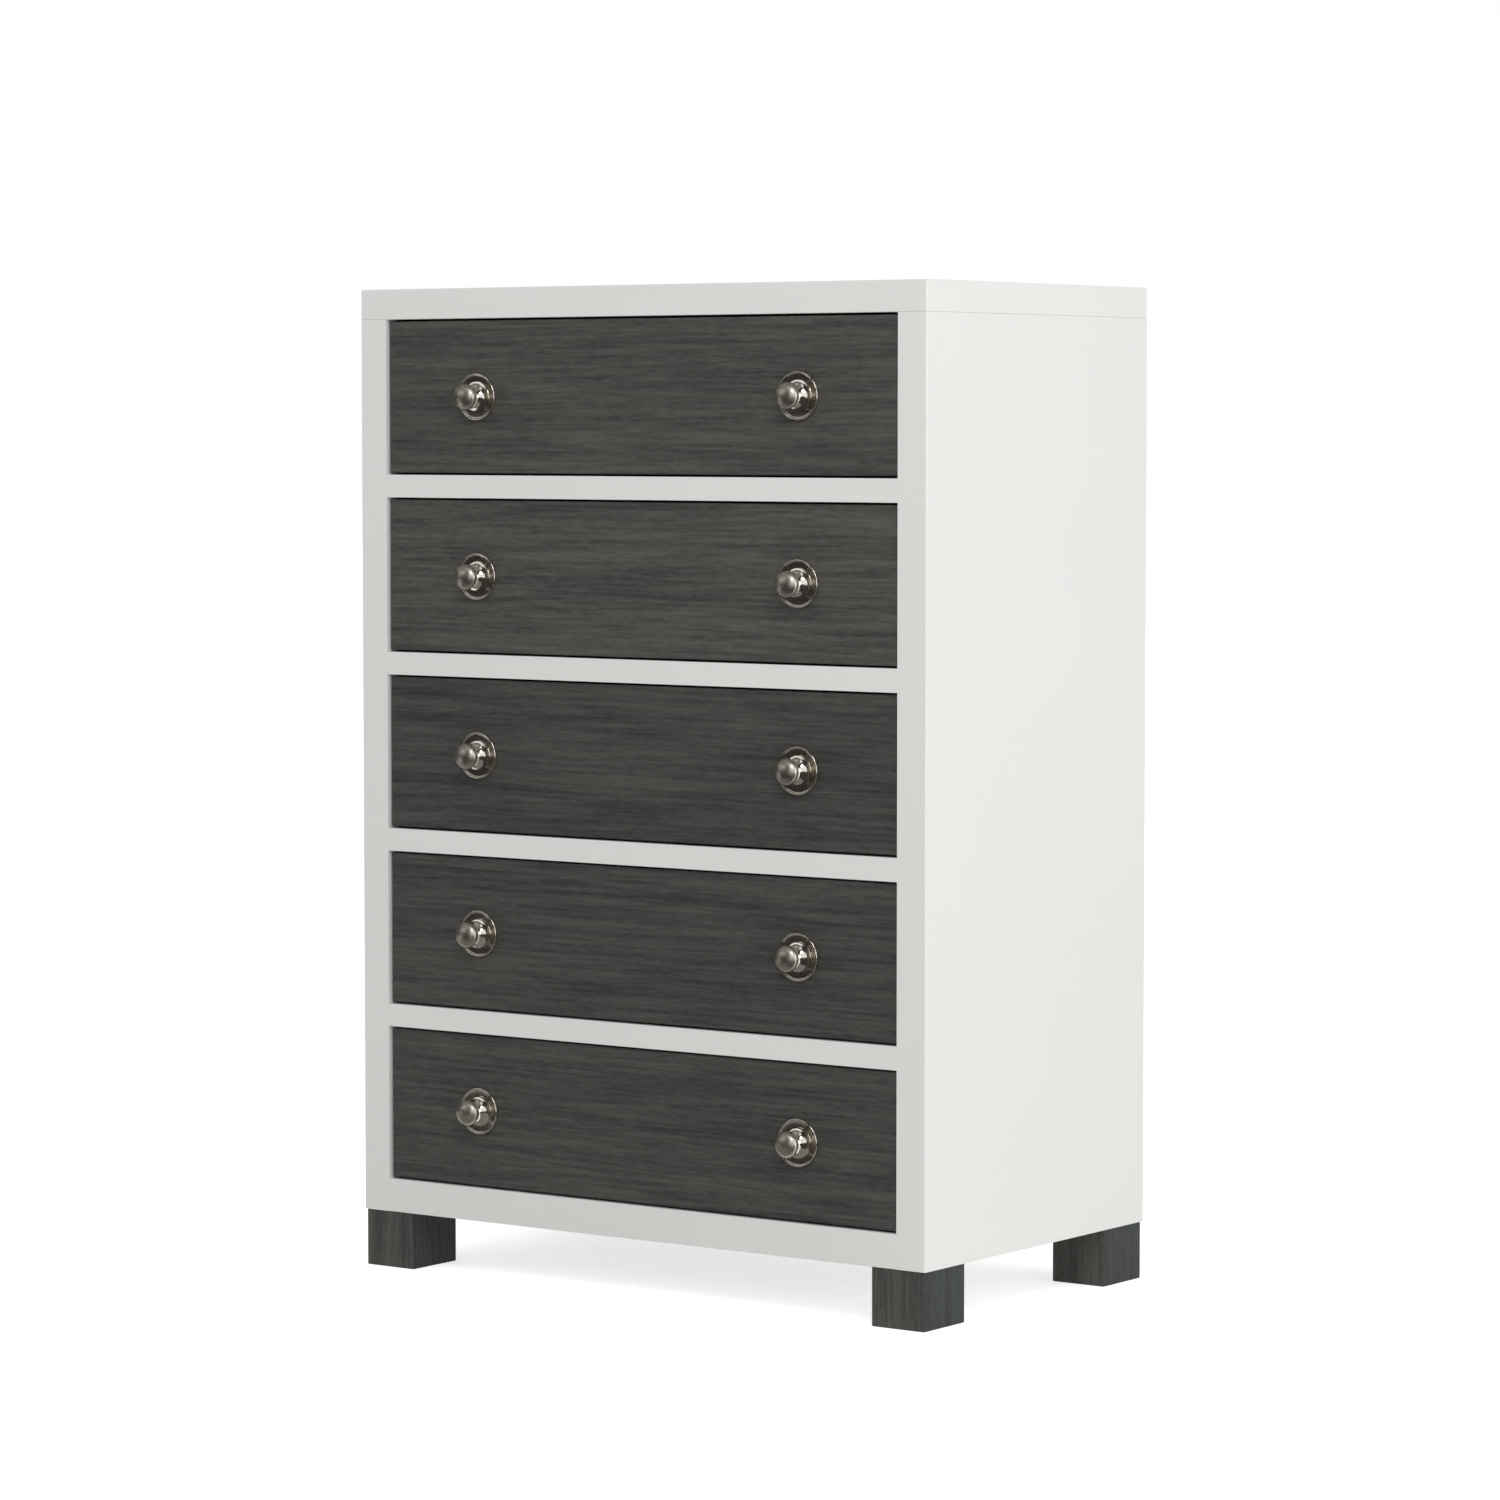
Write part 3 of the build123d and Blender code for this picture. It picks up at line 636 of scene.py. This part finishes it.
def copies_along(name, stamped, count, paths, finish, polished):
    """A plain mesh object of copies of a stamp. Each path is its corner points and its copies' turn."""
    tree = path_tree()
    joined = bmesh.new()
    for corners, turn in paths:
        line = bpy.data.meshes.new(name)
        line.from_pydata(corners, [(k, k + 1) for k in range(len(corners) - 1)], [])
        carrier = bpy.data.objects.new(name, line)
        bpy.context.scene.collection.objects.link(carrier)
        grow = carrier.modifiers.new("copies", "NODES")
        grow.node_group = tree
        values = {
            "Stamp": stamped, "Count": count, "Turn": turn, "Finish": finish, "Polished finish": polished,
        }
        for socket in tree.interface.items_tree:
            if socket.name in values:
                grow[socket.identifier] = values[socket.name]
        grown = carrier.evaluated_get(bpy.context.evaluated_depsgraph_get())
        mesh = bpy.data.meshes.new_from_object(grown)
        joined.from_mesh(mesh)
        materials = list(mesh.materials)
        bpy.data.meshes.remove(mesh)
        bpy.data.objects.remove(carrier)
        bpy.data.meshes.remove(line)
    final = bpy.data.meshes.new(name)
    joined.to_mesh(final)
    joined.free()
    for material in materials:
        final.materials.append(material)
    piece = bpy.data.objects.new(name, final)
    bpy.context.scene.collection.objects.link(piece)
    return piece


# Stage
def set_sheets(name, sheets, finish):
    """Flat four-cornered sheets as one object of the stage."""
    corners = [corner for sheet in sheets for corner in sheet]
    mesh = bpy.data.meshes.new(name)
    mesh.from_pydata(corners, [], [range(4 * k, 4 * k + 4) for k in range(len(sheets))])
    mesh.materials.append(finish)
    made = bpy.data.objects.new(name, mesh)
    bpy.context.scene.collection.objects.link(made)
    return made


def light_world(scene, stage):
    """Even light from all round, behind a backdrop that is seen as white."""
    world = bpy.data.worlds.new("studio")
    scene.world = world
    world.use_nodes = True
    tree = world.node_tree
    tree.nodes.clear()
    seen = seen_rays(tree)
    strength = node(tree, "ShaderNodeMapRange", {"Value": seen, "To Min": stage.sky, "To Max": 1.0})
    sky = node(tree, "ShaderNodeBackground", {"Color": WHITE, "Strength": strength})
    node(tree, "ShaderNodeOutputWorld", {"Surface": sky})


def hang_lamp(scene, name, where, target, size, watts):
    """A square soft lamp that faces a target."""
    data = bpy.data.lights.new(name, "AREA")
    data.size = size
    data.energy = watts
    lamp = bpy.data.objects.new(name, data)
    lamp.location = where
    lamp.rotation_euler = (target - where).to_track_quat("-Z", "Y").to_euler()
    scene.collection.objects.link(lamp)


def stand_camera(scene, stage):
    """The camera that the scene is seen through."""
    data = bpy.data.cameras.new("camera")
    data.sensor_width = SENSOR_WIDTH
    data.lens = stage.lens
    camera = bpy.data.objects.new("camera", data)
    camera.location = stage.camera_place
    camera.rotation_euler = (math.pi / 2 + stage.camera_pitch, 0.0, stage.camera_azimuth)
    scene.collection.objects.link(camera)
    scene.camera = camera


# Operators
class CHEST_OT_case(bpy.types.Operator):
    """Lacquers the case and finishes its boards and fasteners"""

    bl_idname = "chest.case"
    bl_label = "Case"

    def execute(self, context):
        finishes = context.scene.chest.finishes
        white = white_lacquer(finishes)
        rails = [name for name in NODES if name.startswith("drawer_rail_")]
        coat(["top_panel", "left_side_panel", "right_side_panel", "left_stile", "right_stile"], white)
        coat(rails + ["bottom_rail", "bottom_panel"], white)
        coat(["back_panel"], painted_board(finishes))
        coat(["slide_cleats"], clear_birch(finishes, "Y"))
        coat(["joint_dowels"], clear_birch(finishes, "X", "beech dowel"))
        coat(["foot_bolts"], zinc_plate(finishes, "Z"))
        return {"FINISHED"}


class CHEST_OT_feet(bpy.types.Operator):
    """Stains the block feet, with the grain upright"""

    bl_idname = "chest.feet"
    bl_label = "Feet"

    def execute(self, context):
        finishes = context.scene.chest.finishes
        feet = [name for name in NODES if name.endswith("_foot")]
        coat(feet, charcoal_oak(finishes, "Z", finishes.foot_depth))
        return {"FINISHED"}


class CHEST_OT_drawers(bpy.types.Operator):
    """Stains the drawer fronts and finishes the drawer boxes"""

    bl_idname = "chest.drawers"
    bl_label = "Drawers"

    def execute(self, context):
        finishes = context.scene.chest.finishes
        lengthwise = clear_birch(finishes, "Y")
        crosswise = clear_birch(finishes, "X")
        for drawer, depth in zip(DRAWERS, finishes.front_darkness):
            coat([f"{drawer}_front"], charcoal_oak(finishes, "X", depth))
            coat([f"{drawer}_left_side", f"{drawer}_right_side"], lengthwise)
            coat([f"{drawer}_back", f"{drawer}_bottom"], crosswise)
        return {"FINISHED"}


class CHEST_OT_slides(bpy.types.Operator):
    """Plates the slides and sets the screws of the drawer rails"""

    bl_idname = "chest.slides"
    bl_label = "Slides"

    def execute(self, context):
        chest = context.scene.chest
        screws = chest.screws
        plate = zinc_plate(chest.finishes, "Y")
        coat(["case_slide_rails"], plate)
        screw = screw_stamp("slide_screw", plate, screws.slide_head)
        for drawer in DRAWERS:
            coat([f"{drawer}_slide_rails", f"{drawer}_ball_cages"], plate)
            low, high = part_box(f"{drawer}_slide_rails")
            middle = (low.z + high.z) / 2
            paths = []
            for side in (-1, 1):
                x = side * (BOX_SIDE_FACE + screws.slide_sheet)
                ends = [(x, low.y + screws.slide_inset, middle), (x, high.y - screws.slide_inset, middle)]
                paths.append((ends, (0.0, 0.0, -side * math.pi / 2)))
            piece = copies_along(f"{drawer}_slide_screws", screw, screws.slide_count, paths, plate, plate)
            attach(piece, drawer)
        drop_stamp(screw)
        return {"FINISHED"}


class CHEST_OT_knobs(bpy.types.Operator):
    """Turns the knobs and screws a pair to each drawer"""

    bl_idname = "chest.knobs"
    bl_label = "Knobs"

    def execute(self, context):
        chest = context.scene.chest
        knobs = chest.knobs
        finishes = chest.finishes
        satin = nickel("satin nickel plate", finishes.nickel_satin, smooth=0.30, rough=0.44, grit=0.8 * MM)
        polished = nickel(
            "polished nickel plate", finishes.nickel_polished, smooth=0.10, rough=0.18, grit=6 * MM
        )
        knob = self.knob_stamp(knobs, satin)
        for drawer in DRAWERS:
            low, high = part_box(f"{drawer}_knobs")
            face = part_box(f"{drawer}_front")[0].y
            middle = (low.z + high.z) / 2
            ends = [(side * knobs.spacing / 2, face, middle) for side in (-1, 1)]
            pair = copies_along(
                f"{drawer}_knob_pair", knob, len(ends), [(ends, UNTURNED)], satin, polished
            )
            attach(pair, drawer)
            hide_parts(f"{drawer}_knobs")
        drop_stamp(knob)
        return {"FINISHED"}

    @staticmethod
    def knob_stamp(knobs, finish):
        """A knob to copy, polished below its head, with the head of its screw behind the drawer front."""
        shape = bmesh.new()
        polished = shape.faces.layers.bool.new("polished")
        outline, head_start = knob_outline(knobs)
        rings = [ring(shape, radius, -height, knobs.segments) for radius, height in outline]
        for face in join_rings(shape, rings):
            face[polished] = -face.calc_center_median().y < head_start
        pan_head(shape, knobs.screw_head, FRONT_HIGH.y - FRONT_LOW.y)
        return stamp("knob", finish, shape)


class CHEST_OT_back_screws(bpy.types.Operator):
    """Screws the back board to the sides and the case floor"""

    bl_idname = "chest.back_screws"
    bl_label = "Back screws"

    def execute(self, context):
        chest = context.scene.chest
        screws = chest.screws
        steel = zinc_plate(chest.finishes, "Z")
        screw = screw_stamp("back_screw", steel, screws.back_head)
        x = BACK_HIGH.x - screws.back_inset
        y = BACK_HIGH.y
        foot = BACK_LOW.z + screws.back_foot
        top = BACK_HIGH.z - screws.back_top
        path = [(-x, y, top), (-x, y, foot), (x, y, foot), (x, y, top)]
        piece = copies_along("back_screws", screw, screws.back_count, [(path, UNTURNED)], steel, steel)
        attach(piece, "case")
        drop_stamp(screw)
        return {"FINISHED"}


class CHEST_OT_stage(bpy.types.Operator):
    """Sets the pale floor, the soft studio light, flags for the metal to reflect, and the camera"""

    bl_idname = "chest.stage"
    bl_label = "Stage"

    def execute(self, context):
        scene = context.scene
        stage = scene.chest.stage
        half = stage.floor_size / 2
        sheet = ((-half, -half, 0), (half, -half, 0), (half, half, 0), (-half, half, 0))
        set_sheets("studio_floor", [sheet], studio_paper(stage))
        dark = felt("dark grey felt", stage.dark_felt, stage.dark_nap)
        grey = felt("mid grey felt", stage.grey_felt, stage.grey_nap)
        for name, sheets, finish in (("dark_flag", DARK_FLAGS, dark), ("grey_flag", GREY_FLAGS, grey)):
            flag = set_sheets(name, sheets, finish)
            flag.visible_camera = False
            flag.visible_diffuse = False
            flag.visible_shadow = False
        light_world(scene, stage)
        hang_lamp(scene, "key lamp", stage.key_place, stage.lamp_target, stage.key_size, stage.key_lamp)
        hang_lamp(scene, "side lamp", stage.side_place, stage.lamp_target, stage.side_size, stage.side_lamp)
        stand_camera(scene, stage)
        scene.view_settings.view_transform = "Standard"
        return {"FINISHED"}


class CHEST_PT_sidebar(bpy.types.Panel):
    """Settings of the chest, and the operators that make it"""

    bl_idname = "CHEST_PT_sidebar"
    bl_label = "Chest of drawers"
    bl_space_type = "VIEW_3D"
    bl_region_type = "UI"
    bl_category = "Chest"

    def draw(self, context):
        chest = context.scene.chest
        for group in (chest.finishes, chest.knobs, chest.screws, chest.stage):
            box = self.layout.box()
            for name in group.bl_rna.properties.keys():
                if name not in ("rna_type", "name"):
                    box.prop(group, name)
        for operator in OPERATORS:
            self.layout.operator(operator.bl_idname)


GROUPS = (ChestFinishes, ChestKnobs, ChestScrews, ChestStage, Chest)
OPERATORS = (
    CHEST_OT_case, CHEST_OT_feet, CHEST_OT_drawers, CHEST_OT_slides, CHEST_OT_knobs, CHEST_OT_back_screws,
    CHEST_OT_stage,
)
CLASSES = (*GROUPS, *OPERATORS, CHEST_PT_sidebar)


def register():
    """Adds the settings, the operators and the panel to Blender."""
    for made in CLASSES:
        bpy.utils.register_class(made)
    bpy.types.Scene.chest = PointerProperty(type=Chest)


def unregister():
    """Takes them out again."""
    del bpy.types.Scene.chest
    for made in reversed(CLASSES):
        bpy.utils.unregister_class(made)


def main():
    """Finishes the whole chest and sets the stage."""
    register()
    bpy.ops.chest.case()
    bpy.ops.chest.feet()
    bpy.ops.chest.drawers()
    bpy.ops.chest.slides()
    bpy.ops.chest.knobs()
    bpy.ops.chest.back_screws()
    bpy.ops.chest.stage()


if __name__ == "__main__":
    main()
